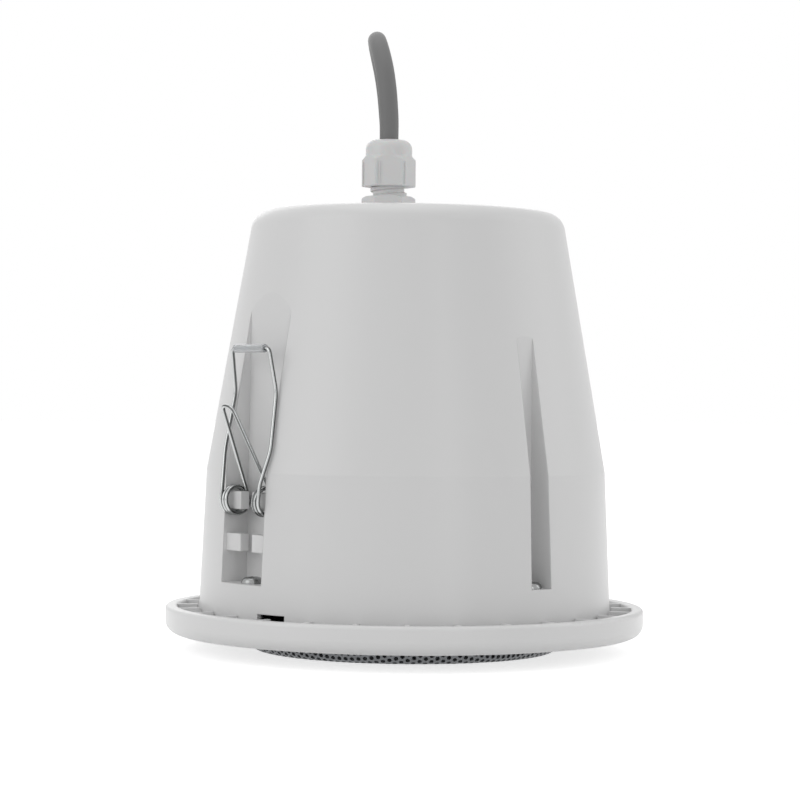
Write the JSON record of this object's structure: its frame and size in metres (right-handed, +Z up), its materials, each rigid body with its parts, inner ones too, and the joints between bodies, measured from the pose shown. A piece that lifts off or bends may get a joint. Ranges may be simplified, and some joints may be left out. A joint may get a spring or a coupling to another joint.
{
  "type": "flush ceiling loudspeaker",
  "caption": "Round moisture-proof ceiling loudspeaker with a tapered back housing, ribbed front ring, metal grille, wire spring clips and a cable gland with a free cable.",
  "frame": {"origin": "centre of the grille's front face, on the surface that the part stands on", "axes": "+Z up through the back housing towards the cable gland; the spring clips are on +X and -X, the cable gland is set off towards +Y"},
  "size_m": [0.2603, 0.2843, 0.2653],
  "materials": {
    "housing_plastic": "satin",
    "ring_plastic": "satin",
    "grille_metal": "matte",
    "black_rubber": "matte",
    "bright_steel": "satin",
    "spring_wire": "polished",
    "sleeve_plastic": "gloss",
    "gland_plastic": "satin",
    "cable_jacket": "matte",
    "tie_plastic": "satin",
    "copper": "satin",
    "black_foam": "matte",
    "painted_steel": "satin",
    "cone_paper": "matte",
    "former_film": "satin",
    "spider_cloth": "matte",
    "plated_steel": "satin",
    "ferrite": "matte",
    "board": "satin",
    "core_steel": "satin",
    "winding_tape": "gloss",
    "block_plastic": "satin",
    "wire_insulation": "satin"
  },
  "bodies": {
    "enclosure": {"housing": "housing_plastic", "front_ring": "ring_plastic", "grille": "grille_metal", "housing_gasket": "black_rubber", "housing_screws": "bright_steel", "gland_body": "gland_plastic", "gland_nut": "gland_plastic", "gland_seal": "black_rubber", "gland_washer": "black_rubber", "gland_locknut": "gland_plastic", "cable_entry": "cable_jacket", "cable": "cable_jacket", "cable_coil": "cable_jacket", "cable_tie": "tie_plastic", "cable_end": "copper", "driver_gasket": "black_foam", "surround": "black_rubber", "basket": "painted_steel", "driver_screws": "bright_steel", "spider": "spider_cloth", "top_plate": "plated_steel", "magnet": "ferrite", "yoke": "plated_steel", "tag_strip": "board", "transformer_core": "core_steel", "transformer_winding": "winding_tape", "transformer_bracket": "plated_steel", "transformer_screws": "bright_steel", "terminal_block": "block_plastic", "block_screws": "bright_steel", "feed_wires": "wire_insulation", "speaker_leads": "wire_insulation"},
    "clip_left": {"spring_clip_left": "spring_wire", "clip_sleeve_left": "sleeve_plastic"},
    "clip_right": {"spring_clip_right": "spring_wire", "clip_sleeve_right": "sleeve_plastic"},
    "moving_coil": {"cone": "cone_paper", "dust_cap": "cone_paper", "voice_former": "former_film", "voice_winding": "copper"}
  },
  "joints": [
    {"name": "clip_left_swing", "type": "hinge", "parent": "enclosure", "child": "clip_left", "pos_m": [-0.08, 0, 0.0637], "axis": [0, -1, 0], "range_deg": [0, 95]},
    {"name": "clip_right_swing", "type": "hinge", "parent": "enclosure", "child": "clip_right", "pos_m": [0.08, 0, 0.0637], "axis": [0, 1, 0], "range_deg": [0, 95]},
    {"name": "cone_travel", "type": "slide", "parent": "enclosure", "child": "moving_coil", "axis": [0, 0, 1], "range_m": [-0.0025, 0.0025], "stiffness_N_per_m": 1200, "deforming": ["surround", "spider"]}
  ]
}
